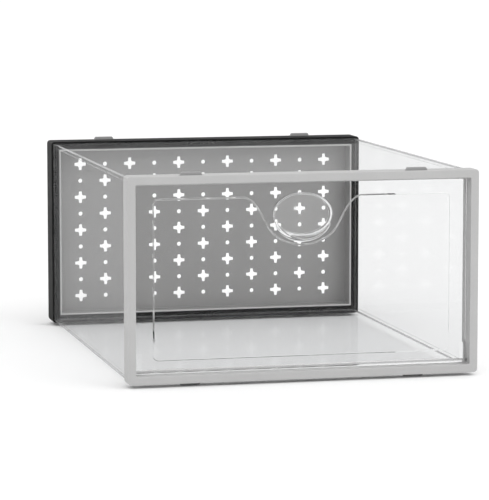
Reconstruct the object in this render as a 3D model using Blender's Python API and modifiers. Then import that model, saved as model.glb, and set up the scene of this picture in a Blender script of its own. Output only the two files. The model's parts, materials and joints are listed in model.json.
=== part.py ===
# Clear stackable shoe box: two moulded frames joined by four clear sheets, a vented back
# tray and a drop-front door. Metres, +Z up, the door towards -Y.
# Origin: middle of the footprint, on the plane that the bottom clips stand on.

import math

import bmesh
import bpy
from mathutils import Matrix, Vector
from mathutils.geometry import interpolate_bezier

# Body, without the clips that stand proud of it
BODY_WIDTH = 0.256
BODY_DEPTH = 0.334
BODY_HEIGHT = 0.1465
CORNER_RADIUS = 0.003

# Frames
BAR_WIDTH = 0.006  # face of a frame bar, seen from the front
FRONT_FRAME_DEPTH = 0.014
REAR_FRAME_DEPTH = 0.022
EDGE_BEVEL = 0.0006
OPENING_RADIUS = 0.001
SEAT_GAP = 0.0003  # between a seated piece and what carries it

# Clear sheets, slotted into a groove in each frame
SHEET_THICKNESS = 0.0012
SHEET_INSET = 0.0017  # from the frame's outer face to the sheet's
GROOVE_DEPTH = 0.0026

# Vented tray and the ledge that it rests against
LEDGE_WIDTH = 0.003
LEDGE_THICKNESS = 0.005
TRAY_RIM = 0.0013
TRAY_PLATE = 0.002
TRAY_RADIUS = 0.0008
VENT_PITCH_X = 0.0204
VENT_PITCH_Z = 0.0134
VENT_MARGIN_X = 0.017  # least distance from the rim to a row or column of vents
VENT_MARGIN_Z = 0.011
PLUS_REACH = 0.00475  # centre to the end of an arm
PLUS_ROOT = 0.0016
PLUS_TIP = 0.0012
DOT_RADIUS = 0.00175

# Door and its hinge
DOOR_SETBACK = 0.008  # from the front of the frame to the face of the door
DOOR_THICKNESS = 0.0018
DOOR_EDGE_GAP = 0.0006
STOP_LIP = 0.0015  # the frame's step behind the door's edge
BARREL_RADIUS = 0.0016
BARREL_CLEARANCE = 0.0004  # above the bottom bar
PEG_RADIUS = 0.0013
PEG_REACH = 0.0032  # into the side bar
PEG_CLEARANCE = 0.0003
LUG_WIDTH = 0.005
LUG_HEIGHT = 0.014
LUG_PROUD = 0.0008

# Embossed line on the door
LINE_INSET_SIDE = 0.0135  # from the door's edge
LINE_INSET_TOP = 0.0105
LINE_INSET_BOTTOM = 0.008  # from the hinge line
LINE_RADIUS = 0.004
LINE_THICKNESS = 0.0006
LINE_DIP_START = 0.044  # half width where the line leaves the straight
LINE_ARC_WIDTH = 0.0275
LINE_ARC_HEIGHT = 0.0214
LINE_JOIN_ANGLE = math.radians(25)

# Finger pull
PULL_DROP = 0.0234  # from the door's top edge to the middle of the pull
PULL_HALF_WIDTH = 0.0205
PULL_HALF_HEIGHT = 0.0145
PULL_WALL = 0.0012
PULL_POCKET = 0.0042  # pocket depth behind the door's face
PULL_RIM_PROUD = 0.0006
LIP_HALF_WIDTH = 0.0238
LIP_HALF_HEIGHT = 0.0192
LIP_PROUD = 0.0045
LIP_START_ANGLE = math.radians(24)

# Clips that lock one box to the next
CLIP_LENGTH = 0.016
CLIP_WIDTH = 0.0036
CLIP_PROUD = 0.0022
CLIP_SEAT = 0.0031
CLIP_SIDE_INSET = 0.046  # from the body's side to the clip's middle
CLIP_EDGE_INSET = 0.0018  # from the body's end face to the upper clip
CLIP_ROW_GAP = 0.0016  # between the upper and the lower clip, seen from above
CLIP_BEVEL = 0.0005

ROUND_STEPS = 20  # facets round the hinge
CUT_PAST = 0.002  # how far a cutter runs past the face that it opens
SINK = 0.0005  # how far joined shapes reach into each other

BODY_BOTTOM = CLIP_PROUD
BODY_TOP = BODY_BOTTOM + BODY_HEIGHT
MID_HEIGHT = (BODY_BOTTOM + BODY_TOP) / 2
FRONT = -BODY_DEPTH / 2
BACK = BODY_DEPTH / 2
FRONT_FRAME_BACK = FRONT + FRONT_FRAME_DEPTH
REAR_FRAME_FRONT = BACK - REAR_FRAME_DEPTH
OPENING_WIDTH = BODY_WIDTH - 2 * BAR_WIDTH
OPENING_HEIGHT = BODY_HEIGHT - 2 * BAR_WIDTH
LEDGE_FRONT = BACK - LEDGE_THICKNESS

DOOR_FRONT = FRONT + DOOR_SETBACK
DOOR_BACK = DOOR_FRONT + DOOR_THICKNESS
HINGE_HEIGHT = BODY_BOTTOM + BAR_WIDTH + BARREL_CLEARANCE + BARREL_RADIUS
HINGE = Vector((0, DOOR_FRONT, HINGE_HEIGHT))
DOOR_WIDTH = OPENING_WIDTH - 2 * DOOR_EDGE_GAP
DOOR_TOP = BODY_TOP - BAR_WIDTH - DOOR_EDGE_GAP
PULL_HEIGHT = DOOR_TOP - PULL_DROP

FRAME_GREY = (0.46, 0.46, 0.45, 1)
CHARCOAL = (0.045, 0.045, 0.047, 1)
PANEL_GREY = (0.30, 0.30, 0.295, 1)
CLIP_GREY = (0.27, 0.27, 0.265, 1)
CLEAR = (0.93, 0.95, 0.96, 0.25)


def clear_scene():
    for thing in list(bpy.data.objects):
        bpy.data.objects.remove(thing)


def new_group(name):
    group = bpy.data.collections.new(name)
    bpy.context.scene.collection.children.link(group)
    return group


def paint(part, colour, roughness):
    material = bpy.data.materials.new(part.name)
    material.use_nodes = True
    shader = material.node_tree.nodes["Principled BSDF"]
    shader.inputs["Base Color"].default_value = colour
    shader.inputs["Roughness"].default_value = roughness
    shader.inputs["Metallic"].default_value = 0
    shader.inputs["Alpha"].default_value = colour[3]
    part.data.materials.append(material)
    part.data.shade_smooth()
    part.data.set_sharp_from_angle(angle=math.radians(35))


def mesh_object(name, mesh, group):
    part = bpy.data.objects.new(name, mesh)
    group.objects.link(part)
    return part


def box(name, low, high, group):
    """A block between two opposite corners."""
    shape = bmesh.new()
    bmesh.ops.create_cube(shape, size=1)
    size = Vector(high) - Vector(low)
    bmesh.ops.scale(shape, vec=size, verts=shape.verts)
    mesh = bpy.data.meshes.new(name)
    shape.to_mesh(mesh)
    shape.free()
    part = mesh_object(name, mesh, group)
    part.location = (Vector(low) + Vector(high)) / 2
    return part


def turned(name, profile, place, group):
    """A round shape about an axis along X, from the radius and place along it of each step.
    The profile runs from +X to -X."""
    mesh = bpy.data.meshes.new(name)
    points = [(radius, 0, along) for radius, along in profile]
    mesh.from_pydata(points, [(i, i + 1) for i in range(len(points) - 1)], [])
    part = mesh_object(name, mesh, group)
    part.location = place
    part.rotation_euler = (0, math.pi / 2, 0)
    screw = part.modifiers.new("turn", "SCREW")
    screw.steps = screw.render_steps = ROUND_STEPS
    screw.use_merge_vertices = True
    screw.merge_threshold = 1e-6
    return part


def ellipse_arc(half_width, half_height, start, end, steps):
    """Points on an ellipse about the origin, from one angle to another."""
    angles = [start + (end - start) * step / steps for step in range(steps + 1)]
    return [(half_width * math.cos(a), half_height * math.sin(a)) for a in angles]


def ellipse(half_width, half_height, steps=32):
    return ellipse_arc(half_width, half_height, 0, 2 * math.pi, steps)[:-1]


def rounded_rectangle(width, height, radius, steps=4):
    points = []
    for corner, (side, rise) in enumerate([(1, 1), (-1, 1), (-1, -1), (1, -1)]):
        start = corner * math.pi / 2
        for x, z in ellipse_arc(radius, radius, start, start + math.pi / 2, steps):
            points.append((side * (width / 2 - radius) + x, rise * (height / 2 - radius) + z))
    return points


def rectangle(width, height):
    return [(x * width / 2, z * height / 2) for x, z in [(1, 1), (-1, 1), (-1, -1), (1, -1)]]


def mesh_from_curve(curve, name, group):
    """The curve's solid as a closed mesh, in the same place."""
    bpy.context.view_layer.update()
    evaluated = curve.evaluated_get(bpy.context.evaluated_depsgraph_get())
    mesh = bpy.data.meshes.new_from_object(evaluated)
    shape = bmesh.new()
    shape.from_mesh(mesh)
    bmesh.ops.remove_doubles(shape, verts=shape.verts, dist=1e-6)
    shape.to_mesh(mesh)
    shape.free()
    part = mesh_object(name, mesh, group)
    part.matrix_world = curve.matrix_world
    bpy.data.objects.remove(curve)
    part.name = name
    return part


def slab(name, loops, near, far, height, group):
    """A flat outline, with any holes, that stands at right angles to Y between near and far.
    Its points are across and up from the middle at the given height."""
    curve = bpy.data.curves.new(name, "CURVE")
    curve.dimensions = "2D"
    curve.fill_mode = "BOTH"
    curve.extrude = (far - near) / 2
    for loop in loops:
        spline = curve.splines.new("POLY")
        spline.points.add(len(loop) - 1)
        for point, (x, z) in zip(spline.points, loop):
            point.co = (x, z, 0, 1)
        spline.use_cyclic_u = True
    outline = bpy.data.objects.new(name, curve)
    group.objects.link(outline)
    outline.location = (0, (near + far) / 2, height)
    outline.rotation_euler = (math.pi / 2, 0, 0)
    return mesh_from_curve(outline, name, group)


def closed_tube(name, points, radius, group):
    """A round bead along a closed line."""
    curve = bpy.data.curves.new(name, "CURVE")
    curve.dimensions = "3D"
    curve.bevel_depth = radius
    curve.bevel_resolution = 1
    spline = curve.splines.new("POLY")
    spline.points.add(len(points) - 1)
    for point, place in zip(spline.points, points):
        point.co = (*place, 1)
    spline.use_cyclic_u = True
    line = bpy.data.objects.new(name, curve)
    group.objects.link(line)
    return mesh_from_curve(line, name, group)


def combine(part, tool, operation):
    """Cut the tool out of the part, or join it on. The tool stays as a hidden guide."""
    modifier = part.modifiers.new(tool.name, "BOOLEAN")
    modifier.operation = operation
    modifier.solver = "EXACT"
    modifier.object = tool
    tool.hide_render = True
    tool.display_type = "WIRE"
    bpy.context.view_layer.update()
    world = tool.matrix_world.copy()
    tool.parent = part
    tool.matrix_parent_inverse = part.matrix_world.inverted()
    tool.matrix_world = world


def soften(part, width, segments=2):
    bevel = part.modifiers.new("softened edges", "BEVEL")
    bevel.width = width
    bevel.segments = segments
    bevel.limit_method = "ANGLE"
    bevel.angle_limit = math.radians(50)


def move_origin(part, point):
    bpy.context.view_layer.update()
    shift = part.matrix_world.inverted() @ point
    part.data.transform(Matrix.Translation(-shift))
    part.matrix_world.translation = point
    bpy.context.view_layer.update()


def clip_rows(upper):
    """The front and back ends, along Y, of the clips in the front and in the rear frame."""
    near = CLIP_EDGE_INSET if upper else CLIP_EDGE_INSET + CLIP_WIDTH + CLIP_ROW_GAP
    far = near + CLIP_WIDTH
    return {"front": (FRONT + near, FRONT + far), "rear": (BACK - far, BACK - near)}


def clip_middle(side):
    return side * (BODY_WIDTH / 2 - CLIP_SIDE_INSET)


def frame_block(name, near, far, group):
    """The outer block of a frame, before its openings are cut."""
    loop = rounded_rectangle(BODY_WIDTH, BODY_HEIGHT, CORNER_RADIUS)
    block = slab(name, [loop], near, far, MID_HEIGHT, group)
    soften(block, EDGE_BEVEL)
    return block


def cut_window(frame, name, reduction, near, far, tools):
    """Open the frame from near to far, to its inner size less the reduction on every side."""
    loop = rounded_rectangle(
        OPENING_WIDTH - 2 * reduction, OPENING_HEIGHT - 2 * reduction, OPENING_RADIUS
    )
    combine(frame, slab(name, [loop], near, far, MID_HEIGHT, tools), "DIFFERENCE")


def cut_groove(frame, name, near, far, tools):
    """The groove that holds the edges of all four sheets."""
    outside = SHEET_INSET - SEAT_GAP
    inside = SHEET_INSET + SHEET_THICKNESS + SEAT_GAP
    loops = [
        rectangle(BODY_WIDTH - 2 * inset, BODY_HEIGHT - 2 * inset) for inset in (outside, inside)
    ]
    combine(frame, slab(name, loops, near, far, MID_HEIGHT, tools), "DIFFERENCE")


def cut_clip_slots(frame, end, tools):
    for upper in (True, False):
        near, far = clip_rows(upper)[end]
        depth = CLIP_SEAT + SEAT_GAP
        low, high = (
            (BODY_TOP - depth, BODY_TOP + CUT_PAST)
            if upper
            else (BODY_BOTTOM - CUT_PAST, BODY_BOTTOM + depth)
        )
        for side in (-1, 1):
            half = CLIP_LENGTH / 2 + SEAT_GAP
            slot = box(
                f"{end} clip slot",
                (clip_middle(side) - half, near - SEAT_GAP, low),
                (clip_middle(side) + half, far + SEAT_GAP, high),
                tools,
            )
            combine(frame, slot, "DIFFERENCE")


def make_front_frame(parts, tools):
    frame = frame_block("front_frame", FRONT, FRONT_FRAME_BACK, parts)
    cut_window(frame, "door pocket", 0, FRONT - CUT_PAST, DOOR_BACK + SEAT_GAP, tools)
    cut_window(frame, "doorway", STOP_LIP, FRONT - CUT_PAST, FRONT_FRAME_BACK + CUT_PAST, tools)
    cut_groove(
        frame, "front groove", FRONT_FRAME_BACK - GROOVE_DEPTH, FRONT_FRAME_BACK + CUT_PAST, tools
    )
    reach = DOOR_WIDTH / 2 + PEG_REACH + PEG_CLEARANCE
    radius = PEG_RADIUS + PEG_CLEARANCE
    profile = [(0, reach), (radius, reach), (radius, -reach), (0, -reach)]
    combine(frame, turned("hinge bores", profile, HINGE, tools), "DIFFERENCE")
    cut_clip_slots(frame, "front", tools)
    paint(frame, FRAME_GREY, 0.45)


def make_rear_frame(parts, tools):
    frame = frame_block("rear_frame", REAR_FRAME_FRONT, BACK, parts)
    cut_window(frame, "tray pocket", 0, REAR_FRAME_FRONT - CUT_PAST, LEDGE_FRONT, tools)
    cut_window(
        frame, "back opening", LEDGE_WIDTH, REAR_FRAME_FRONT - CUT_PAST, BACK + CUT_PAST, tools
    )
    cut_groove(
        frame, "rear groove", REAR_FRAME_FRONT - CUT_PAST, REAR_FRAME_FRONT + GROOVE_DEPTH, tools
    )
    cut_clip_slots(frame, "rear", tools)
    paint(frame, CHARCOAL, 0.5)


def plus_loop(x, z):
    """A plus with slightly tapered arms."""
    arm = [(PLUS_REACH, -PLUS_TIP), (PLUS_REACH, PLUS_TIP), (PLUS_ROOT, PLUS_ROOT)]
    points = []
    for quarter in range(4):
        turn = Matrix.Rotation(quarter * math.pi / 2, 2)
        points += [turn @ Vector(point) + Vector((x, z)) for point in arm]
    return points


def dot_loop(x, z):
    return [(x + px, z + pz) for px, pz in ellipse(DOT_RADIUS, DOT_RADIUS, 8)]


def places_along(length, margin, pitch):
    """Evenly spaced places about the middle, with an odd count, clear of both ends."""
    half = int((length / 2 - margin) / pitch)
    return [place * pitch for place in range(-half, half + 1)]


def vent_loops(width, height):
    """Pluses and dots in turn, like the squares of a chessboard."""
    loops = []
    for column, x in enumerate(places_along(width, VENT_MARGIN_X, VENT_PITCH_X)):
        for row, z in enumerate(places_along(height, VENT_MARGIN_Z, VENT_PITCH_Z)):
            loops.append(plus_loop(x, z) if (column + row) % 2 == 0 else dot_loop(x, z))
    return loops


def grow_rim(panel, width, height, forward):
    """Widen a plate to the given size, and turn the strip that this adds forward, as a rim."""
    shape = bmesh.new()
    shape.from_mesh(panel.data)
    half_x = max(vertex.co.x for vertex in shape.verts)
    half_z = max(vertex.co.y for vertex in shape.verts)
    edge = [
        face
        for face in shape.faces
        if abs(face.normal.z) < 0.5 and is_outside(face.calc_center_median(), half_x, half_z)
    ]
    widened = bmesh.ops.extrude_face_region(shape, geom=edge)["geom"]
    bmesh.ops.delete(shape, geom=edge, context="FACES")
    moved = [item for item in widened if isinstance(item, bmesh.types.BMVert)]
    bmesh.ops.scale(shape, vec=(width / 2 / half_x, height / 2 / half_z, 1), verts=moved)
    shape.normal_update()
    front = [
        face
        for face in shape.faces
        if face.normal.z > 0.5 and is_outside(face.calc_center_median(), half_x, half_z)
    ]
    raised = bmesh.ops.extrude_face_region(shape, geom=front)["geom"]
    bmesh.ops.delete(shape, geom=front, context="FACES")
    moved = [item for item in raised if isinstance(item, bmesh.types.BMVert)]
    bmesh.ops.translate(shape, vec=(0, 0, forward), verts=moved)
    bmesh.ops.recalc_face_normals(shape, faces=shape.faces)
    shape.to_mesh(panel.data)
    shape.free()


def is_outside(point, half_x, half_z):
    """Whether a point lies on or past the plate's edge, corners included."""
    within = TRAY_RADIUS / 2
    return abs(point.x) > half_x - within or abs(point.y) > half_z - within


def make_vent_panel(parts):
    width = OPENING_WIDTH - 2 * SEAT_GAP
    height = OPENING_HEIGHT - 2 * SEAT_GAP
    inner_width = width - 2 * TRAY_RIM
    inner_height = height - 2 * TRAY_RIM
    back = LEDGE_FRONT - SEAT_GAP
    loops = [rounded_rectangle(inner_width, inner_height, TRAY_RADIUS, 2)]
    loops += vent_loops(inner_width, inner_height)
    panel = slab("vent_panel", loops, back - TRAY_PLATE, back, MID_HEIGHT, parts)
    grow_rim(panel, width, height, back - TRAY_PLATE - REAR_FRAME_FRONT)
    paint(panel, PANEL_GREY, 0.55)


def make_sheets(parts):
    near = FRONT_FRAME_BACK - GROOVE_DEPTH + SEAT_GAP
    far = REAR_FRAME_FRONT + GROOVE_DEPTH - SEAT_GAP
    outer = BODY_WIDTH / 2 - SHEET_INSET
    inner = outer - SHEET_THICKNESS
    low = BODY_BOTTOM + SHEET_INSET
    high = BODY_TOP - SHEET_INSET
    between = inner - SEAT_GAP
    sheets = [
        box("left_panel", (-outer, near, low), (-inner, far, high), parts),
        box("right_panel", (inner, near, low), (outer, far, high), parts),
        box("bottom_panel", (-between, near, low), (between, far, low + SHEET_THICKNESS), parts),
        box("top_panel", (-between, near, high - SHEET_THICKNESS), (between, far, high), parts),
    ]
    for sheet in sheets:
        paint(sheet, CLEAR, 0.06)


def dip_curve(side, straight_top, pull_rise):
    """The embossed line's way from the straight top, down to the arc under the pull."""
    angle = -LINE_JOIN_ANGLE
    join = Vector((LINE_ARC_WIDTH * math.cos(angle), LINE_ARC_HEIGHT * math.sin(angle)))
    join.y += pull_rise
    along = Vector((LINE_ARC_WIDTH * math.sin(angle), -LINE_ARC_HEIGHT * math.cos(angle)))
    start = Vector((LINE_DIP_START, straight_top))
    lead = (LINE_DIP_START - join.x) / 2
    points = interpolate_bezier(
        start, start - Vector((lead, 0)), join - along.normalized() * lead, join, 9
    )
    return [(side * point.x, point.y) for point in points]


def embossed_path():
    """The closed line on the door's face, as points across and up from the hinge."""
    top = DOOR_TOP - LINE_INSET_TOP - HINGE_HEIGHT
    bottom = LINE_INSET_BOTTOM
    half = DOOR_WIDTH / 2 - LINE_INSET_SIDE
    middle = (top + bottom) / 2
    corners = rounded_rectangle(2 * half, top - bottom, LINE_RADIUS)
    corners = [(x, z + middle) for x, z in corners]
    pull_rise = PULL_HEIGHT - HINGE_HEIGHT
    arc = ellipse_arc(
        LINE_ARC_WIDTH, LINE_ARC_HEIGHT, -LINE_JOIN_ANGLE, LINE_JOIN_ANGLE - math.pi, 16
    )
    dip = dip_curve(1, top, pull_rise)
    dip += [(x, z + pull_rise) for x, z in arc[1:-1]]
    dip += dip_curve(-1, top, pull_rise)[::-1]
    quarter = len(corners) // 4
    return corners[:quarter] + dip + corners[quarter:]


def pull_lip_loop():
    """A crescent under the pull: the outer arc, and back just inside the pocket's edge, which
    trims it."""
    start, end = -LIP_START_ANGLE, LIP_START_ANGLE - math.pi
    outer = ellipse_arc(LIP_HALF_WIDTH, LIP_HALF_HEIGHT, start, end, 18)
    inner = ellipse_arc(PULL_HALF_WIDTH - SINK, PULL_HALF_HEIGHT - SINK, end, start, 18)
    return outer + inner


def hinge_pin(half, tools):
    """The barrel along the door's lower edge, stepped down to a peg at each end."""
    reach = half + PEG_REACH
    right = [(0, reach), (PEG_RADIUS, reach), (PEG_RADIUS, half), (BARREL_RADIUS, half)]
    left = [(radius, -along) for radius, along in right[::-1]]
    return turned("hinge barrel and pegs", right + left, HINGE, tools)


def make_door(parts, tools):
    rise = DOOR_TOP - HINGE_HEIGHT
    loop = [(x, z + rise / 2) for x, z in rounded_rectangle(DOOR_WIDTH, rise, OPENING_RADIUS)]
    door = slab("drop_door", [loop], DOOR_FRONT, DOOR_BACK, HINGE_HEIGHT, parts)
    move_origin(door, HINGE)

    half = DOOR_WIDTH / 2
    combine(door, hinge_pin(half, tools), "UNION")
    for side in (-1, 1):
        outer, inner = side * (half - SINK), side * (half - LUG_WIDTH)
        lug = box(
            "hinge lug",
            (min(outer, inner), DOOR_FRONT - LUG_PROUD, HINGE_HEIGHT),
            (max(outer, inner), DOOR_FRONT + SINK, HINGE_HEIGHT + LUG_HEIGHT),
            tools,
        )
        combine(door, lug, "UNION")

    path = [(x, DOOR_FRONT, z + HINGE_HEIGHT) for x, z in embossed_path()]
    combine(door, closed_tube("embossed line", path, LINE_THICKNESS, tools), "UNION")

    cup = slab(
        "pull cup",
        [ellipse(PULL_HALF_WIDTH + PULL_WALL, PULL_HALF_HEIGHT + PULL_WALL)],
        DOOR_FRONT - PULL_RIM_PROUD,
        DOOR_FRONT + PULL_POCKET + PULL_WALL,
        PULL_HEIGHT,
        tools,
    )
    combine(door, cup, "UNION")
    lip = slab(
        "pull lip", [pull_lip_loop()], DOOR_FRONT - LIP_PROUD, DOOR_FRONT + SINK, PULL_HEIGHT, tools
    )
    combine(door, lip, "UNION")
    pocket = slab(
        "pull pocket",
        [ellipse(PULL_HALF_WIDTH, PULL_HALF_HEIGHT)],
        DOOR_FRONT - LIP_PROUD - CUT_PAST,
        DOOR_FRONT + PULL_POCKET,
        PULL_HEIGHT,
        tools,
    )
    combine(door, pocket, "DIFFERENCE")
    paint(door, CLEAR, 0.05)


def make_clips(parts):
    sides = {"left": -1, "right": 1}
    for level, upper in {"top": True, "bottom": False}.items():
        low = BODY_TOP - CLIP_SEAT if upper else BODY_BOTTOM - CLIP_PROUD
        high = low + CLIP_SEAT + CLIP_PROUD
        for end, (near, far) in clip_rows(upper).items():
            for side_name, side in sides.items():
                middle = clip_middle(side)
                clip = box(
                    f"clip_{level}_{end}_{side_name}",
                    (middle - CLIP_LENGTH / 2, near, low),
                    (middle + CLIP_LENGTH / 2, far, high),
                    parts,
                )
                soften(clip, CLIP_BEVEL, 1)
                paint(clip, CLIP_GREY, 0.5)


clear_scene()
shoe_box = new_group("shoe_box")
guides = new_group("cutters and guides")
make_front_frame(shoe_box, guides)
make_rear_frame(shoe_box, guides)
make_vent_panel(shoe_box)
make_sheets(shoe_box)
make_door(shoe_box, guides)
make_clips(shoe_box)
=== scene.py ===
import json
import math

import bmesh
import bpy
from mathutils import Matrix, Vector
from mathutils.geometry import interpolate_bezier


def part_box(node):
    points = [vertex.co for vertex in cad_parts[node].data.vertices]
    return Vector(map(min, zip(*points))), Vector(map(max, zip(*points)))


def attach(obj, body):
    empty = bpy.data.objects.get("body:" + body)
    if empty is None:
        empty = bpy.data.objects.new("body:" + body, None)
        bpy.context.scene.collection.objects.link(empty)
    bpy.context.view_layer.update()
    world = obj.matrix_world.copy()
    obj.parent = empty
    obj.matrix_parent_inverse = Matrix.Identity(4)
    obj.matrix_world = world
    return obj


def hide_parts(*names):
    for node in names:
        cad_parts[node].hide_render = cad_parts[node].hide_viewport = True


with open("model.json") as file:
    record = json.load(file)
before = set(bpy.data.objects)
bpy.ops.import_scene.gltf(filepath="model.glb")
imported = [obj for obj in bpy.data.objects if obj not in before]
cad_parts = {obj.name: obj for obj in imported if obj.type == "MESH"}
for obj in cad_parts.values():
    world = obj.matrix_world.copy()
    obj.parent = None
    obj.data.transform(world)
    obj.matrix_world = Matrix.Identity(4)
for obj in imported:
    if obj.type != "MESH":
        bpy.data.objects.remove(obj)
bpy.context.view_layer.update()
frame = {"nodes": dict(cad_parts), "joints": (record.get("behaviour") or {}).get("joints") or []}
print("frame loaded:", len(frame["nodes"]), "nodes")

fixed, hinged = "box_body", "door"  # the two bodies


def fillet(corners, steps=4):
    # corners are (x, y, radius); a corner with a radius becomes a short curve
    points = []
    for i, (x, y, radius) in enumerate(corners):
        here = Vector((x, y))
        if not radius:
            points.append(here)
            continue
        before = (Vector(corners[i - 1][:2]) - here).normalized() * radius
        after = (Vector(corners[(i + 1) % len(corners)][:2]) - here).normalized() * radius
        for step in range(steps + 1):
            t = step / steps
            points.append(here + before * (1 - t) ** 2 + after * t ** 2)
    return points


def roundedPath(halfWidth, halfHeight, radius, steps=6):
    signs = [(1, 1), (-1, 1), (-1, -1), (1, -1)]
    return fillet([(x * halfWidth, y * halfHeight, radius) for x, y in signs], steps)


def ellipsePath(halfWidth, halfHeight, start=0, end=2 * math.pi, steps=64):
    # from one angle to another; a whole turn leaves the repeated last point off
    whole = abs(end - start - 2 * math.pi) < 1e-6
    angles = [start + (end - start) * step / steps for step in range(steps + (not whole))]
    return [Vector((halfWidth * math.cos(a), halfHeight * math.sin(a))) for a in angles]


def asPiece(name, shape):
    bmesh.ops.recalc_face_normals(shape, faces=shape.faces)
    mesh = bpy.data.meshes.new(name)
    shape.to_mesh(mesh)
    shape.free()
    piece = bpy.data.objects.new(name, mesh)
    bpy.context.scene.collection.objects.link(piece)
    return piece


def loft(name, rings, closed=False):
    # rings of equal count joined in order; open lofts are capped at both ends
    shape = bmesh.new()
    rows = [[shape.verts.new(point) for point in ring] for ring in rings]
    pairs = list(zip(rows, rows[1:] + rows[:1]))
    for near, far in pairs if closed else pairs[:-1]:
        for i, vertex in enumerate(near):
            j = (i + 1) % len(near)
            shape.faces.new((vertex, near[j], far[j], far[i]))
    if not closed:
        shape.faces.new(rows[0])
        shape.faces.new(rows[-1])
    return asPiece(name, shape)


def standing(path, y, height):
    # a flat path stood up across the box, at one depth
    return [(point.x, y, point.y + height) for point in path]


def softSlab(name, outline, near, far, softening, height, steps=3):
    # a plate across the box whose outline comes from a function of its inset; the side's
    # two end points only steer its roundings and are left out
    deep = softening * 4
    side = fillet([(deep, near, 0), (0, near, softening), (0, far, softening), (deep, far, 0)], steps)
    rings = [standing(outline(max(0, point.x)), point.y, height) for point in side[1:-1]]
    return loft(name, rings)


def settle(piece):
    # what the modifiers make becomes the piece's own mesh
    bpy.context.view_layer.update()
    evaluated = piece.evaluated_get(bpy.context.evaluated_depsgraph_get())
    done, old = bpy.data.meshes.new_from_object(evaluated), piece.data
    piece.modifiers.clear()
    piece.data = done
    bpy.data.meshes.remove(old)
    return piece


def carve(piece, tool, operation="DIFFERENCE"):
    modifier = piece.modifiers.new("carve", "BOOLEAN")
    modifier.operation = operation
    modifier.solver = "MANIFOLD"
    modifier.object = tool
    settle(piece)
    bpy.data.objects.remove(tool)
    return piece


def present(piece, finish, node, body, sharpAngle=40):
    # smooth shading with crisp flats, then its finish and its place in the frame
    piece.data.materials.clear()
    piece.data.materials.append(finish)
    piece.data.shade_smooth()
    piece.data.set_sharp_from_angle(angle=math.radians(sharpAngle))
    normals = piece.modifiers.new("flat faces stay flat", "WEIGHTED_NORMAL")
    normals.keep_sharp = True
    normals.weight = 50
    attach(piece, body)
    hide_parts(node)
    return piece


class Wire:
    # one output socket; sums written with it add Math nodes
    def __init__(self, graph, socket):
        self.graph, self.socket = graph, socket

    def math(self, operation, *values):
        return self.graph.add("ShaderNodeMath", {"operation": operation}, dict(enumerate(values)))

    def __add__(self, other):
        return self.math("ADD", self, other)

    def __sub__(self, other):
        return self.math("SUBTRACT", self, other)

    def __rsub__(self, other):
        return self.math("SUBTRACT", other, self)

    def __mul__(self, other):
        return self.math("MULTIPLY", self, other)

    __radd__ = __add__
    __rmul__ = __mul__


class Graph:
    # one material and its empty node tree
    def __init__(self, name):
        self.material = bpy.data.materials.new(name)
        self.material.use_nodes = True
        self.tree = self.material.node_tree
        self.tree.nodes.clear()

    def add(self, kind, settings=None, links=None, out=0):
        # settings first, then a value or a wire for each socket
        node = self.tree.nodes.new(kind)
        for key, value in (settings or {}).items():
            if key == "stops":
                elements = node.color_ramp.elements
                for element, (position, shade) in zip(elements, value):
                    element.position, element.color = position, (shade, shade, shade, 1)
            else:
                setattr(node, key, value)
        for key, value in (links or {}).items():
            if isinstance(value, Wire):
                self.tree.links.new(value.socket, node.inputs[key])
            else:
                node.inputs[key].default_value = value
        return Wire(self, node.outputs[out]) if len(node.outputs) else None


def colour(shade, warmth=0.0):
    return (shade * (1 + warmth), shade, shade * (1 - warmth), 1)


def place(graph):
    return graph.add("ShaderNodeTexCoord", out="Object")


def noise(graph, where, scale, detail=2.0, roughness=0.5, distortion=0.0):
    return graph.add("ShaderNodeTexNoise", {"noise_dimensions": "3D"},
                     {"Vector": where, "Scale": scale, "Detail": detail, "Roughness": roughness,
                      "Distortion": distortion})


def ramp(graph, factor, stops):
    return graph.add("ShaderNodeValToRGB", {"stops": stops}, {"Fac": factor})


def blend(graph, factor, first, second):
    return graph.add("ShaderNodeMix", {"data_type": "RGBA", "blend_type": "MIX"},
                     {0: factor, 6: first, 7: second}, out=2)


def edgeMask(graph):
    # 0 on faces square to an axis, towards 1 on rounded edges and corners
    normal = graph.add("ShaderNodeNewGeometry", out="Normal")
    size = graph.add("ShaderNodeVectorMath", {"operation": "ABSOLUTE"}, {0: normal})
    parts = {axis: graph.add("ShaderNodeSeparateXYZ", {}, {0: size}, out=axis) for axis in "XYZ"}
    largest = parts["X"].math("MAXIMUM", parts["X"], parts["Y"])
    largest = largest.math("MAXIMUM", largest, parts["Z"])
    return ramp(graph, 1 - largest, [(0.02, 0), (0.22, 1)])


grainDetail, flowDetail, rubDetail = 3, 4, 5  # octaves of each noise in the moulded plastics


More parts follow.
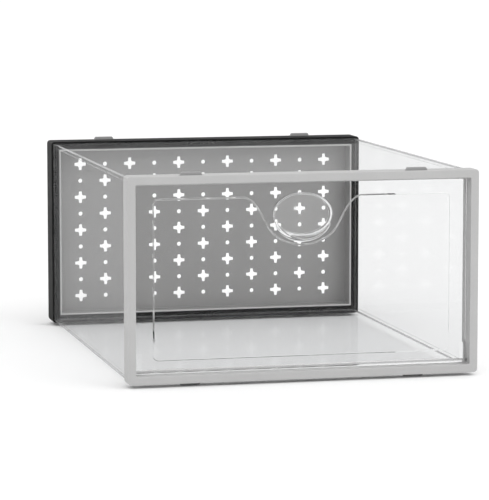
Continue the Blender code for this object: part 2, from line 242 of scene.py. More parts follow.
def mouldedPlastic(name, look):
    # spark-eroded satin plastic: fine grain, faint flow mottling, paler edges that are partly rubbed
    # wear and partly painted highlight
    graph = Graph(name)
    where = place(graph)
    grain = noise(graph, where, look["grain"], grainDetail, 0.6)
    pores = graph.add("ShaderNodeTexVoronoi", {"feature": "F1"},
                      {"Vector": where, "Scale": look["grain"] * 0.55, "Randomness": 1.0})
    flow = noise(graph, where, look["flow"], flowDetail, 0.55, 0.6)
    rubbed = noise(graph, where, look["flow"] * 2.3, rubDetail, 0.65)
    handling = ramp(graph, rubbed, [(0.45, 0), (0.72, 1)])
    edges = edgeMask(graph)
    speck = ramp(graph, noise(graph, where, look["grain"] * 0.8, 1), [(0.3, 0), (0.7, 1)])

    shade = look["shade"]
    body = blend(graph, flow, colour(shade * (1 - look["mottle"]), look["warmth"]),
                 colour(shade * (1 + look["mottle"]), look["warmth"]))
    body = blend(graph, speck * look["speck"], body, colour(shade * look["speckShade"]))
    body = blend(graph, handling * look["handling"], body, colour(shade * 1.25, look["warmth"]))
    # painted highlight: rounded edges are made paler, partly as rubbed wear and partly as light
    # catching them
    body = blend(graph, edges * (flow * 0.6 + 0.4) * look["edgeWearAndHighlight"], body,
                 colour(min(0.85, shade * look["wornHighlitEdgeTone"])))

    rough = (flow - 0.5) * 0.14 + (grain - 0.5) * 0.12 + look["roughness"]
    rough = rough - handling * 0.06 - edges * 0.12
    height = grain * 0.7 + pores * 0.5 + flow * 0.3
    bump = graph.add("ShaderNodeBump", {},
                     {"Strength": look["bump"], "Distance": look["bumpDepth"], "Height": height})
    shader = graph.add("ShaderNodeBsdfPrincipled", {}, {
        "Base Color": body, "Roughness": rough, "Normal": bump, "IOR": 1.5,
        "Specular IOR Level": look["gloss"]})
    graph.add("ShaderNodeOutputMaterial", {}, {"Surface": shader})
    return graph.material


def clearPlastic(name, look):
    # polished clear plastic: hairline scratches, faint haze and a slight wave in the surface
    graph = Graph(name)
    where = place(graph)
    haze = noise(graph, where, look["haze"], 4, 0.6, 0.4)
    wave = noise(graph, where, look["wave"], 1, 0.4)
    stretched = graph.add("ShaderNodeMapping", {"vector_type": "POINT"},
                          {"Vector": where, "Rotation": (0.31, 0.17, 0.52), "Scale": (14, 1, 1)})
    crossed = graph.add("ShaderNodeMapping", {"vector_type": "POINT"},
                        {"Vector": where, "Rotation": (0.2, -0.43, -0.35), "Scale": (1, 1, 17)})
    hairlines = [
        ramp(graph, noise(graph, way, look["hairline"], 2, 0.5), [(0.60, 0), (0.66, 1)])
        for way in (stretched, crossed)]
    scratches = hairlines[0] * 0.6 + hairlines[1] * 0.4
    dust = ramp(graph, noise(graph, where, look["dust"], 2, 0.7), [(0.62, 0), (0.75, 1)])

    shade = look["shade"]
    body = blend(graph, haze, colour(shade - look["hazeTint"], -0.003), colour(shade, -0.001))
    body = blend(graph, dust * look["dustAmount"], body, colour(shade - look["dustTint"]))
    rough = haze * look["hazeRough"] + scratches * 0.05 + dust * 0.03 + look["roughness"]
    bump = graph.add("ShaderNodeBump", {},
                     {"Strength": look["bump"], "Distance": look["bumpDepth"],
                      "Height": wave - scratches * 0.05 + dust * 0.02})
    solid = graph.add("ShaderNodeBsdfPrincipled", {}, {
        "Base Color": body, "Roughness": rough, "Normal": bump, "IOR": look["ior"],
        "Transmission Weight": 1.0})
    see = graph.add("ShaderNodeBsdfTransparent", {}, {"Color": colour(look["throughLight"])})
    shadow = graph.add("ShaderNodeLightPath", out="Is Shadow Ray")
    mixed = graph.add("ShaderNodeMixShader", {}, {0: shadow, 1: solid, 2: see})
    graph.add("ShaderNodeOutputMaterial", {}, {"Surface": mixed})
    return graph.material


def thinClear(name, look):
    # a thin clear wall: it lets straight through what its haze, dust and sheen don't catch
    graph = Graph(name)
    where = place(graph)
    haze = noise(graph, where, look["haze"], 4, 0.6, 0.4)
    dust = ramp(graph, noise(graph, where, look["dust"], 2, 0.7), [(0.60, 0), (0.76, 1)])
    drawn = graph.add("ShaderNodeMapping", {"vector_type": "POINT"},
                      {"Vector": where, "Rotation": (0.12, 0.07, 0.09), "Scale": (18, 1, 18)})
    hairlines = ramp(graph, noise(graph, drawn, look["hairline"], 2, 0.5), [(0.60, 0), (0.67, 1)])
    sheen = graph.add("ShaderNodeFresnel", {}, {"IOR": 1.45})

    body = blend(graph, haze, colour(look["shade"] * 0.96, -0.004), colour(look["shade"], -0.002))
    rough = haze * 0.05 + dust * 0.1 + hairlines * 0.06 + look["roughness"]
    bump = graph.add("ShaderNodeBump", {}, {
        "Strength": 0.08, "Distance": 0.0003, "Height": haze - hairlines * 0.08})
    film = graph.add("ShaderNodeBsdfPrincipled", {}, {
        "Base Color": body, "Roughness": rough, "Normal": bump, "Metallic": look["metallic"]})
    through = graph.add("ShaderNodeBsdfTransparent", {}, {"Color": colour(look["through"], -0.001)})
    caught = sheen * look["sheen"] + haze * look["milk"] + dust * look["dustAmount"]
    caught = caught + hairlines * look["scratched"] + look["least"]
    mixed = graph.add("ShaderNodeMixShader", {}, {0: caught, 1: through, 2: film})
    graph.add("ShaderNodeOutputMaterial", {}, {"Surface": mixed})
    return graph.material


frontPlastic = mouldedPlastic("satin light grey plastic", {
    "shade": 0.43, "warmth": 0.004, "mottle": 0.035, "grain": 1500, "flow": 26,
    "speck": 0.22, "speckShade": 0.86, "handling": 0.10, "edgeWearAndHighlight": 0.55, "wornHighlitEdgeTone": 1.35,
    "roughness": 0.46, "bump": 0.28, "bumpDepth": 0.00006, "gloss": 0.5})
rearPlastic = mouldedPlastic("charcoal textured plastic", {
    "shade": 0.008, "warmth": -0.01, "mottle": 0.12, "grain": 1100, "flow": 30,
    "speck": 0.35, "speckShade": 1.8, "handling": 0.12, "edgeWearAndHighlight": 0.35, "wornHighlitEdgeTone": 3.2,
    "roughness": 0.62, "bump": 0.5, "bumpDepth": 0.0001, "gloss": 0.08})
ventPlastic = mouldedPlastic("mid grey vent plastic", {
    "shade": 0.29, "warmth": 0.012, "mottle": 0.04, "grain": 1300, "flow": 18,
    "speck": 0.3, "speckShade": 0.84, "handling": 0.08, "edgeWearAndHighlight": 0.8, "wornHighlitEdgeTone": 1.9,
    "roughness": 0.5, "bump": 0.32, "bumpDepth": 0.00008, "gloss": 0.5})
# a paler copy of the vent plastic: painted highlight for the rim's front edge, where light catches it
ventLipPaintedHighlight = mouldedPlastic("vent lip plastic with painted highlight", {
    "shade": 0.46, "warmth": 0.008, "mottle": 0.04, "grain": 1300, "flow": 40,
    "speck": 0.2, "speckShade": 0.88, "handling": 0.1, "edgeWearAndHighlight": 0.4, "wornHighlitEdgeTone": 1.3,
    "roughness": 0.4, "bump": 0.2, "bumpDepth": 0.00005, "gloss": 0.5})
clipPlastic = mouldedPlastic("grey clip plastic", {
    "shade": 0.25, "warmth": 0.0, "mottle": 0.05, "grain": 1600, "flow": 60,
    "speck": 0.25, "speckShade": 0.85, "handling": 0.12, "edgeWearAndHighlight": 0.6, "wornHighlitEdgeTone": 1.5,
    "roughness": 0.42, "bump": 0.25, "bumpDepth": 0.00006, "gloss": 0.5})
sheetPlastic = thinClear("clear sheet plastic", {
    "shade": 0.9, "haze": 14, "hairline": 42, "dust": 170, "roughness": 0.02, "metallic": 0.55,
    "through": 0.965, "sheen": 0.09, "milk": 0.006, "dustAmount": 0.015, "scratched": 0.015,
    "least": 0.001})
sheetEdge = thinClear("clear sheet edge", {
    "shade": 0.6, "haze": 40, "hairline": 60, "dust": 220, "roughness": 0.12, "metallic": 0.25,
    "through": 0.9, "sheen": 0.4, "milk": 0.25, "dustAmount": 0.1, "scratched": 0.05,
    "least": 0.12})
doorPlastic = clearPlastic("clear door plastic", {
    "shade": 0.988, "haze": 17, "wave": 7, "hairline": 50, "dust": 190, "dustAmount": 0.3,
    "hazeTint": 0.008, "dustTint": 0.06, "hazeRough": 0.015, "roughness": 0.008, "bump": 0.05,
    "bumpDepth": 0.0004, "ior": 1.49, "throughLight": 0.95})
doorFlat = thinClear("clear door face", {
    "shade": 0.9, "haze": 17, "hairline": 50, "dust": 190, "roughness": 0.015, "metallic": 0.6,
    "through": 0.985, "sheen": 0.12, "milk": 0.004, "dustAmount": 0.012, "scratched": 0.02,
    "least": 0.001})
print("finishes made")


frames = {
    "bar": 0.006,            # face of a frame bar
    "outerRadius": 0.003,
    "openingRadius": 0.001,
    "grooveRadius": 0.0003,
    "outerEdge": 0.0007,     # rounding along the outer edges
    "innerEdge": 0.00045,
    "grooveOuter": 0.0014,   # insets of the groove that takes the sheets
    "grooveInner": 0.0032,
    "grooveDepth": 0.0026,
    "stopLip": 0.0015,       # step behind the door's edge
    "stopDepth": 0.0101,     # from the front to that step
    "stepEdge": 0.0003,      # rounding of that step
    "ledge": 0.003,          # step that the tray rests against
    "ledgeThickness": 0.005,
    "grooveMouth": 0.0002,   # rounding of the groove's inner edge
    "bore": 0.0016,          # radius of the blind bores that take the door's pegs
    "boreGap": 0.0003,       # how far a bore runs past its peg
}

lowFront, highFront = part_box("front_frame")
lowRear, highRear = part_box("rear_frame")
halfWidth = highFront.x
halfHeight = (highFront.z - lowFront.z) / 2
middle = (highFront.z + lowFront.z) / 2


def cornerRadius(inset):
    if inset < frames["grooveOuter"] - 1e-5:
        return frames["outerRadius"] - inset
    if inset < frames["grooveInner"] + 1e-5:
        return frames["grooveRadius"]
    return frames["openingRadius"] + max(0, frames["bar"] - inset)


def sweptFrame(name, profile):
    # carries a profile of (inset, depth, rounding) round the box
    rings = []
    for point in fillet(profile):
        inset = max(0, point.x)
        path = roundedPath(halfWidth - inset, halfHeight - inset, cornerRadius(inset))
        rings.append(standing(path, point.y, middle))
    return loft(name, rings, closed=True)


def frontProfile():
    f, near, far = frames, lowFront.y, highFront.y
    groove, inner = far - f["grooveDepth"], f["bar"] + f["stopLip"]
    return [
        (0, near, f["outerEdge"]), (0, far, f["innerEdge"]),
        (f["grooveOuter"], far, 0), (f["grooveOuter"], groove, 0),
        (f["grooveInner"], groove, 0), (f["grooveInner"], far, f["grooveMouth"]),
        (inner, far, f["innerEdge"]), (inner, near + f["stopDepth"], f["stepEdge"]),
        (f["bar"], near + f["stopDepth"], f["stepEdge"]), (f["bar"], near, f["innerEdge"])]


def rearProfile():
    f, near, far = frames, lowRear.y, highRear.y
    groove, inner = near + f["grooveDepth"], f["bar"] + f["ledge"]
    shelf = far - f["ledgeThickness"]
    return [
        (0, near, f["innerEdge"]), (0, far, f["outerEdge"]), (inner, far, f["outerEdge"]),
        (inner, shelf, f["innerEdge"]), (f["bar"], shelf, 0), (f["bar"], near, f["innerEdge"]),
        (f["grooveInner"], near, f["grooveMouth"]), (f["grooveInner"], groove, 0),
        (f["grooveOuter"], groove, 0), (f["grooveOuter"], near, 0)]


clips = {
    "gap": 0.0003,           # round a seated clip
    "reach": 0.003,          # how far a slot cutter runs past the face it opens
    "taper": 0.0009,         # each end of the proud part leans in by this much
    "corner": 0.00048,
    "thinner": 0.0003,       # the tip is this much narrower on each side
    "slotCorner": 0.0005,
    "edgeShare": 0.6,        # how much of an inset counts along the depth
    # where the clip's outline changes, each as (share of the taper, inset, height)
    "atSeat": ((0, 0.0004, 0), (0, 0.0001, 0.0001), (0, 0, 0.0004)),
    "atFrame": ((0, 0, 0.0001), (0.06, 0.0001, 0.0003)),
    "atTip": ((0.75, 0.0001, -0.0006), (0.86, 0.0002, -0.00027), (0.96, 0.0004, -0.000072),
              (1, 0.0006, 0)),
}


def slotCutter(node):
    # the clip's own outline, a little larger, open towards the outside
    low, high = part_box(node)
    gap, reach = clips["gap"], clips["reach"]
    upper = high.z > middle
    bottom, top = (low.z - gap, high.z + reach) if upper else (low.z - reach, high.z + gap)
    halfX, halfY = (high.x - low.x) / 2 + gap, (high.y - low.y) / 2 + gap
    path = roundedPath(halfX, halfY, clips["slotCorner"], 3)
    x, y = (high.x + low.x) / 2, (high.y + low.y) / 2
    return loft("slot", [[(x + p.x, y + p.y, z) for p in path] for z in (bottom, top)])


def clipNodes(end=""):
    return [name for name in sorted(frame["nodes"]) if name.startswith("clip_") and end in name]


hingePlace = Vector(frame["joints"][0]["pos_m"])
print("hinge at", tuple(round(c, 5) for c in hingePlace))


def turnedPin(name, profile, steps=28):
    # round about the hinge line, from the radius and the place along it of each step
    turn = [(math.cos(a), math.sin(a)) for a in (2 * math.pi * s / steps for s in range(steps))]
    return loft(name, [
        [(along, hingePlace.y + radius * c, hingePlace.z + radius * s) for c, s in turn]
        for radius, along in profile])


frontFrame = sweptFrame("frontFrame", frontProfile())
lowDoor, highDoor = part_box("drop_door")
boreReach = highDoor.x + frames["boreGap"]
carve(frontFrame, turnedPin("bores", [(frames["bore"], -boreReach), (frames["bore"], boreReach)]))
for node in clipNodes("front"):
    carve(frontFrame, slotCutter(node))
present(frontFrame, frontPlastic, "front_frame", fixed)

rearFrame = sweptFrame("rearFrame", rearProfile())
for node in clipNodes("rear"):
    carve(rearFrame, slotCutter(node))
present(rearFrame, rearPlastic, "rear_frame", fixed)
print("frames made")


tray = {
    "rim": 0.0013,
    "plate": 0.002,
    "radius": 0.0008,
    "pitch": (0.0204, 0.0134),
    "count": (11, 9),
    "plusReach": 0.00475,
    "plusRoot": 0.0016,
    "plusTip": 0.0012,
    "tipRound": 0.0004,
    "rootRound": 0.0006,
    "dotRadius": 0.00175,
    "softening": 0.00018,
    "lipDepth": 0.0006,      # front of the rim that takes the painted highlight
    "edge": 0.0004,          # rounding of the rim
    "overlap": 0.0006,       # how far the plate and the rim run into each other
    "backLand": 0.0004,      # how much further the rim reaches in at the back
    "sunk": 0.00005,         # the plate's back lies this far inside the rim's
    "leastRadius": 0.0003,   # the rim's corners get no sharper than this
    "radiusLoss": 0.3,       # of each inset
}

lowTray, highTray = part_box("vent_panel")
trayWidth, trayHeight = highTray.x, (highTray.z - lowTray.z) / 2


def plusPath(x, z):
    reach, root, tip = tray["plusReach"], tray["plusRoot"], tray["plusTip"]
    corners = []
    for quarter in range(4):
        c, s = round(math.cos(quarter * math.pi / 2)), round(math.sin(quarter * math.pi / 2))
        for px, pz, radius in ((reach, -tip, tray["tipRound"]), (reach, tip, tray["tipRound"]),
                               (root, root, tray["rootRound"])):
            corners.append((x + px * c - pz * s, z + px * s + pz * c, radius))
    return fillet(corners, 3)


def ventPaths():
    (pitchX, pitchZ), (columns, rows) = tray["pitch"], tray["count"]
    paths = []
    for column in range(columns):
        for row in range(rows):
            x, z = (column - columns // 2) * pitchX, (row - rows // 2) * pitchZ
            if (column + row) % 2 == 0:
                paths.append(plusPath(x, z))
            else:
                dot = ellipsePath(tray["dotRadius"], tray["dotRadius"], steps=18)
                paths.append([point + Vector((x, z)) for point in dot])
    return paths


def perforatedPlate(name, outline, holes, near, far, softening):
    curve = bpy.data.curves.new(name, "CURVE")
    curve.dimensions = "2D"
    curve.fill_mode = "BOTH"
    curve.extrude = (far - near) / 2 - softening
    curve.bevel_depth = softening
    curve.bevel_resolution = 1
    curve.offset = -softening
    for path in [outline] + [hole[::-1] for hole in holes]:
        spline = curve.splines.new("POLY")
        spline.points.add(len(path) - 1)
        for point, corner in zip(spline.points, path):
            point.co = (corner.x, corner.y, 0, 1)
        spline.use_cyclic_u = True
    drawn = bpy.data.objects.new(name, curve)
    bpy.context.scene.collection.objects.link(drawn)
    bpy.context.view_layer.update()
    evaluated = drawn.evaluated_get(bpy.context.evaluated_depsgraph_get())
    shape = bmesh.new()
    flat = bpy.data.meshes.new_from_object(evaluated)
    shape.from_mesh(flat)
    bpy.data.meshes.remove(flat)
    bpy.data.objects.remove(drawn)
    bmesh.ops.remove_doubles(shape, verts=shape.verts, dist=1e-6)
    for vertex in shape.verts:
        x, z, y = vertex.co
        vertex.co = (x, (near + far) / 2 - y, z + middle)
    return asPiece(name, shape)


def makeTray():
    rim, plate, softening = tray["rim"], tray["plate"], tray["softening"]
    edge, land, overlap = tray["edge"], rim + tray["backLand"], tray["overlap"]
    back, inner = highTray.y - tray["sunk"], rim - overlap
    outline = roundedPath(trayWidth - inner, trayHeight - inner, tray["radius"], 3)
    panel = perforatedPlate("ventPanel", outline, ventPaths(), back - plate, back, softening)
    profile = [(0, lowTray.y, edge), (0, highTray.y, edge), (land, highTray.y, edge / 2),
               (land, highTray.y - plate * 0.6, 0), (rim, back - plate - overlap, edge),
               (rim, lowTray.y, edge)]
    rings = []
    for point in fillet(profile, 3):
        inset = max(0, point.x)
        radius = max(tray["leastRadius"], tray["radius"] - inset * tray["radiusLoss"])
        path = roundedPath(trayWidth - inset, trayHeight - inset, radius)
        rings.append(standing(path, point.y, middle))
    return carve(panel, loft("rim", rings, closed=True), "UNION")


ventTray = present(makeTray(), ventPlastic, "vent_panel", fixed)
# the rim's front faces take the paler copy: a painted highlight
ventTray.data.materials.append(ventLipPaintedHighlight)
for polygon in ventTray.data.polygons:
    polygon.material_index = int(polygon.center.y < lowTray.y + tray["lipDepth"])
print("vented tray made")


sheets = {
    "edge": 0.0002,          # rounding round each sheet
    "roundness": 0.3,        # share of the rounding at its middle step
    "border": 0.003,         # moulded border on the inner face
    "borderProud": 0.0002,
    "ramp": 0.0004,
    "corner": 0.0004,
    "edgeFacing": 0.95,      # faces turned further than this take the edge finish
}


def makeSheet(name, node):
    low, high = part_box(node)
    size = high - low
    thin = min(range(3), key=lambda axis: size[axis])
    wide, long = [axis for axis in range(3) if axis != thin]
    centre = (low + high) / 2
    inward = -1 if centre[thin] > (middle if thin == 2 else 0) else 1
    outside, inside = (high[thin], low[thin]) if inward < 0 else (low[thin], high[thin])
    edge, border, proud = sheets["edge"], sheets["border"], inward * sheets["borderProud"]
    soft = edge * sheets["roundness"]
    steps = [(edge, outside), (soft, outside + inward * soft), (0, outside + inward * edge),
             (0, inside - inward * soft), (soft, inside + proud * 0.6), (edge, inside + proud),
             (border, inside + proud), (border + sheets["ramp"], inside)]
    rings = []
    for inset, level in steps:
        path = roundedPath(size[wide] / 2 - inset, size[long] / 2 - inset, sheets["corner"], 3)
        ring = []
        for point in path:
            corner = [0, 0, 0]
            corner[thin] = level
            corner[wide] = centre[wide] + point.x
            corner[long] = centre[long] + point.y
            ring.append(corner)
        rings.append(ring)
    piece = present(loft(name, rings), sheetPlastic, node, fixed)
    piece.data.materials.append(sheetEdge)
    for polygon in piece.data.polygons:
        polygon.material_index = int(abs(polygon.normal[thin]) < sheets["edgeFacing"])
    return piece


for side in ("left", "right", "top", "bottom"):
    makeSheet(side + "Sheet", side + "_panel")
print("clear sheets made")


door = {
    "thickness": 0.0018,
    "edge": 0.00035,
    "radius": 0.001,
    "barrel": 0.0016,
    "peg": 0.0013,
    "pegReach": 0.0032,
    "pegChamfer": 0.0003,
    "lug": (0.005, 0.014, 0.0008),   # width, height, proud
    "lineSide": 0.0135,
    "lineTop": 0.0105,
    "lineBottom": 0.008,
    "lineRadius": 0.004,
    "lineThickness": 0.0006,
    "lineFlatness": 0.5,     # how proud the line stands, as a share of its thickness
    "dipStart": 0.044,
    "arc": (0.0275, 0.0214),
    "joinAngle": math.radians(25),
    "pullDrop": 0.0234,
    "pull": (0.0205, 0.0145),
    "pocket": 0.0042,
    "wall": 0.0012,
    "wallRun": 0.0007,       # how far the pocket's wall leans in
    "flatWithin": 0.00005,   # faces this near the door's two planes take the flat finish
    "rimProud": 0.0006,
    "lip": (0.0238, 0.0192),
    "lipProud": 0.0045,
    "lipLeast": 0.0008,      # how proud its two horns are
    "lipStart": math.radians(24),
    "lipSteps": 44,
    "lipSwell": 0.55,        # lower is fuller towards the horns
    "hornShare": 0.22,       # of the lip's height, at the horns
    "hornWidth": 0.35,       # of the lip's width, at the horns
    # the lip's side: share of its width, share of its height
    "lipSide": ((0, 0.86), (0.12, 0.97), (0.3, 1), (0.5, 0.95), (0.68, 0.8), (0.84, 0.5),
                (0.95, 0.2)),
    "lipEnd": 1.05,
    "sunk": 0.0005,          # how deep the lip reaches into the door
    "rimSoft": 0.0004,       # rounding of the pull's rim
    "backStep": 0.0003,      # the cup's wall starts this far before the door's back
    "clearance": 0.002,      # how far the pocket's cutter runs past the lip
    "cupLift": 0.0015,
    "pinStep": 0.0002,
    "lugRound": (0.0003, 0.0012, 0.0004),
    "lugFlat": 0.72,         # share of the lug's height before it falls away
    "lugSunk": 0.0006,
    "squareOn": 0.999,       # faces this square to the front count as flat
    "sharpAngle": 32,
}

face = hingePlace.y
doorHalf = highDoor.x - door["pegReach"]
doorTop = highDoor.z
pullHeight = doorTop - door["pullDrop"]


def linePath():
    # the embossed line: a rounded rectangle whose top dips round the pull
    top, bottom = doorTop - door["lineTop"], hingePlace.z + door["lineBottom"]
    half = doorHalf - door["lineSide"]
    corners = roundedPath(half, (top - bottom) / 2, door["lineRadius"], 8)
    corners = [point + Vector((0, (top + bottom) / 2)) for point in corners]
    (wide, tall), angle = door["arc"], -door["joinAngle"]
    join = Vector((wide * math.cos(angle), tall * math.sin(angle) + pullHeight))
    along = Vector((wide * math.sin(angle), -tall * math.cos(angle))).normalized()
    start = Vector((door["dipStart"], top))
    lead = (door["dipStart"] - join.x) / 2
    dip = interpolate_bezier(start, start - Vector((lead, 0)), join - along * lead, join, 20)
    dip = [point.to_2d() for point in dip]
    arc = ellipsePath(wide, tall, angle, -angle - math.pi, 36)
    arc = [point + Vector((0, pullHeight)) for point in arc[1:-1]]
    mirrored = [Vector((-point.x, point.y)) for point in dip[::-1]]
    quarter = len(corners) // 4
    return corners[:quarter] + dip + arc + mirrored + corners[quarter:]


def roundBead(name, path, radius, depth, flatness=1.0, steps=12):
    # a low round bead along a closed path on the door's face
    rings = []
    for i, point in enumerate(path):
        ahead = (path[(i + 1) % len(path)] - path[i - 1]).normalized()
        across = Vector((ahead.y, -ahead.x))
        ring = []
        for step in range(steps):
            angle = 2 * math.pi * step / steps
            spot = point + across * radius * math.cos(angle)
            ring.append((spot.x, depth + radius * flatness * math.sin(angle), spot.y))
        rings.append(ring)
    return loft(name, rings, closed=True)


def ellipseStack(name, levels):
    # levels are (half width, half height, depth), about the middle of the pull
    return loft(name, [standing(ellipsePath(a, b), y, pullHeight) for a, b, y in levels])


def dished(levels, halfWidth, halfHeight, start, depth):
    # adds a soft wall down to a flat floor, the same slope all round
    for step in range(1, 11):
        t = step / 10
        inward, fall = door["wallRun"] * t, depth * t * t * (3 - 2 * t)
        levels.append((halfWidth - inward, halfHeight - inward, start + fall))
    return levels


def pullCup():
    a, b = (size + door["wall"] for size in door["pull"])
    front, back = face - door["rimProud"], face + door["thickness"]
    soft, start = door["rimSoft"], back - door["backStep"]
    half = soft * 0.375
    levels = [(a - soft, b - soft, front), (a - half, b - half, front + soft / 4),
              (a, b, front + soft), (a, b, start)]
    depth = door["pocket"] + door["wall"] - door["cupLift"]
    return ellipseStack("pull cup", dished(levels, a, b, start, depth))


def pullPocket():
    a, b = door["pull"]
    top, soft = face - door["rimProud"], door["rimSoft"]
    wide, half = soft * 0.75, soft / 4
    levels = [(a + wide, b + wide, face - door["lipProud"] - door["clearance"]),
              (a + wide, b + wide, top - half), (a + half, b + half, top + soft / 2),
              (a, b, top + soft)]
    return ellipseStack("pull pocket", dished(levels, a, b, top + soft, door["pocket"]))


def pullLip():
    # crescent under the pull, thin at its two horns and fullest in the middle
    start, end = -door["lipStart"], door["lipStart"] - math.pi
    (innerA, innerB), (outerA, outerB) = door["pull"], door["lip"]
    into, horn, narrow = door["rimSoft"] * 0.75, door["hornShare"], door["hornWidth"]
    least, sunk, last = door["lipLeast"], door["sunk"], door["lipEnd"]
    rings = []
    for step in range(door["lipSteps"] + 1):
        t = step / door["lipSteps"]
        angle = start + (end - start) * t
        swell = horn + (1 - horn) * math.sin(math.pi * t) ** door["lipSwell"]
        c, s = math.cos(angle), math.sin(angle)
        inner = Vector(((innerA - into) * c, (innerB - into) * s))
        outer = Vector((outerA * c, outerB * s))
        outer = inner + (outer - inner) * (narrow + (1 - narrow) * swell)
        proud = least + (door["lipProud"] - least) * swell
        side = [(0, sunk)] + [(share, -proud * rise) for share, rise in door["lipSide"]]
        ring = []
        for share, rise in side + [(last, 0), (last, sunk)]:
            spot = inner + (outer - inner) * share
            ring.append((spot.x, face + rise, spot.y + pullHeight))
        rings.append(ring)
    return loft("pull lip", rings)


def hingePin():
    reach, chamfer = doorHalf + door["pegReach"], door["pegChamfer"]
    barrel, peg, step = door["barrel"], door["peg"], door["pinStep"]
    right = [(peg - chamfer, reach), (peg, reach - chamfer), (peg, doorHalf + step / 2),
             (barrel - step, doorHalf), (barrel, doorHalf - step)]
    return turnedPin("hinge pin", right + [(radius, -along) for radius, along in right[::-1]])


def hingeLug(side):
    # a low wedge over the corner, thick at the hinge and faired into the face
    (width, height, proud), step = door["lug"], door["pinStep"]
    (foot, crest, toe), back, front = door["lugRound"], face + door["lugSunk"], face - proud
    low, top = hingePlace.z + step, hingePlace.z + height
    profile = fillet([(back, low, 0), (front, low, foot),
                      (front, hingePlace.z + height * door["lugFlat"], crest),
                      (face + step, top, toe), (back, top, 0)])
    outer, inner = doorHalf - foot, doorHalf - width
    rings = []
    for along, shrink in ((outer, step), (outer - step, 0), (inner + toe, 0), (inner, toe)):
        rings.append([(side * along, min(back, y + shrink), z) for y, z in profile])
    return loft("hinge lug", rings)


def makeDoor():
    rise = doorTop - hingePlace.z
    centre = hingePlace.z + rise / 2

    def outline(inset):
        return roundedPath(doorHalf - inset, rise / 2 - inset, door["radius"], 4)

    back = face + door["thickness"]
    piece = softSlab("dropDoor", outline, face, back, door["edge"], centre)
    for tool in [hingePin(), hingeLug(-1), hingeLug(1),
                 roundBead("embossed line", linePath(), door["lineThickness"], face,
                           door["lineFlatness"]),
                 pullCup(), pullLip()]:
        carve(piece, tool, "UNION")
    return carve(piece, pullPocket())


dropDoor = present(makeDoor(), doorPlastic, "drop_door", hinged, door["sharpAngle"])
dropDoor.data.materials.append(doorFlat)
for polygon in dropDoor.data.polygons:
    away = min(abs(polygon.center.y - face), abs(polygon.center.y - face - door["thickness"]))
    squareOn = abs(polygon.normal.y) > door["squareOn"]
    polygon.material_index = int(squareOn and away < door["flatWithin"])
print("door made")


def makeClip(node):
    low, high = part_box(node)
    upper = high.z > middle
    x, y = (low.x + high.x) / 2, (low.y + high.y) / 2
    halfX, halfY = (high.x - low.x) / 2, (high.y - low.y) / 2
    seat, tip = (low.z, high.z) if upper else (high.z, low.z)
    up = 1 if upper else -1
    proudAt = highFront.z if upper else lowFront.z
    taper, thinner, share = clips["taper"], clips["thinner"], clips["edgeShare"]
    rings = []
    for start, levels in ((seat, "atSeat"), (proudAt, "atFrame"), (tip, "atTip")):
        for lean, inset, rise in clips[levels]:
            path = roundedPath(halfX - taper * lean - inset, halfY - thinner * lean - inset * share,
                               clips["corner"], 4)
            rings.append([(x + p.x, y + p.y, start + up * rise) for p in path])
    piece = loft(node.replace("clip_", "clip.").replace("_", "."), rings)
    present(piece, clipPlastic, node, fixed)


for node in clipNodes():
    makeClip(node)
print("clips made")


studio = {
    "floorRings": (0.5, 2, 8, 30),
    "floorSides": 64,
    "floorLevel": -0.0002,   # just under the clips
    "floorShades": (0.93, 0.95),
    "backdrop": 0.95,
    "aim": (0, 0, 0.07),     # what the lamps point at
}

lamps = {
    "overhead softbox": {"kind": "SUN", "energy": 0.75, "place": (0.8, -1.6, 3.0),
                         "shape": {"angle": math.radians(70)}},
    "front fill": {"kind": "AREA", "energy": 6, "place": (1.6, -2.2, 1.3),
                   "shape": {"shape": "RECTANGLE", "size": 1.6, "size_y": 1.2}},
}


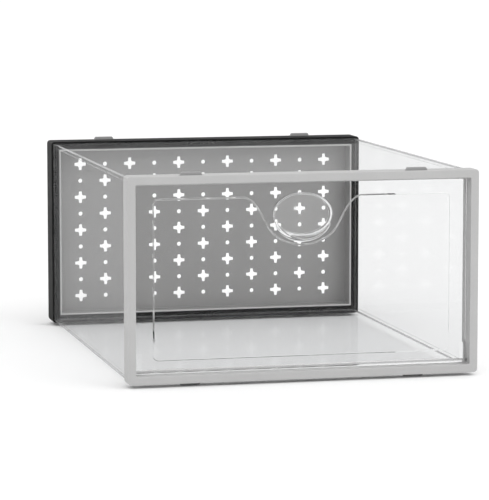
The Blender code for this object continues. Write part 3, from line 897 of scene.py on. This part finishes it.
def makeFloor():
    # wide and flat; only a very slight unevenness in tone keeps it from looking cut out
    shape, sides = bmesh.new(), studio["floorSides"]
    turn = [(math.cos(a), math.sin(a)) for a in (2 * math.pi * s / sides for s in range(sides))]
    rows = [[shape.verts.new((radius * c, radius * s, studio["floorLevel"])) for c, s in turn]
            for radius in studio["floorRings"]]
    shape.faces.new(rows[0])
    for near, far in zip(rows, rows[1:]):
        for i in range(sides):
            j = (i + 1) % sides
            shape.faces.new((near[i], near[j], far[j], far[i]))
    floor = asPiece("studioFloor", shape)
    graph = Graph("pale floor")
    cloud = noise(graph, place(graph), 1.4, 3)
    shade = blend(graph, cloud, *(colour(tone) for tone in studio["floorShades"]))
    rough = cloud * 0.1 + 0.6
    shader = graph.add("ShaderNodeBsdfPrincipled", {}, {
        "Base Color": shade, "Roughness": rough, "Specular IOR Level": 0.2})
    graph.add("ShaderNodeOutputMaterial", {}, {"Surface": shader})
    floor.data.materials.append(graph.material)


def putAndAim(name, data, position, target):
    # a lamp or camera at its place, turned to its target
    thing = bpy.data.objects.new(name, data)
    bpy.context.scene.collection.objects.link(thing)
    thing.location = position
    thing.rotation_mode = "QUATERNION"
    thing.rotation_quaternion = (Vector(target) - Vector(position)).to_track_quat("-Z", "Y")
    return thing


makeFloor()
for name, look in lamps.items():
    lamp = bpy.data.lights.new(name, look["kind"])
    lamp.energy = look["energy"]
    for key, value in look["shape"].items():
        setattr(lamp, key, value)
    putAndAim(name, lamp, look["place"], studio["aim"])

backdrop = bpy.data.worlds.new("white studio")
backdrop.use_nodes = True
sky = backdrop.node_tree.nodes["Background"].inputs
sky["Color"].default_value = (1, 1, 1, 1)
sky["Strength"].default_value = studio["backdrop"]
bpy.context.scene.world = backdrop
bpy.context.scene.view_settings.view_transform = "Standard"

view = {
    "turn": -13.6,           # degrees round from straight on
    "rise": 6.8,
    "distance": 2.1,
    "target": (-0.004, 0.0, 0.075),
    "lens": 198,
    "sensor": 36,
    "clip": (0.1, 100),
}


def makeCamera():
    turn, rise = math.radians(view["turn"]), math.radians(view["rise"])
    level = math.cos(rise)
    away = Vector((math.sin(turn) * level, -math.cos(turn) * level, math.sin(rise)))
    lens = bpy.data.cameras.new("camera")
    lens.lens = view["lens"]
    lens.sensor_width = view["sensor"]
    lens.clip_start, lens.clip_end = view["clip"]
    target = Vector(view["target"])
    bpy.context.scene.camera = putAndAim(
        "camera", lens, target + away * view["distance"], target)


makeCamera()
print("stage ready")
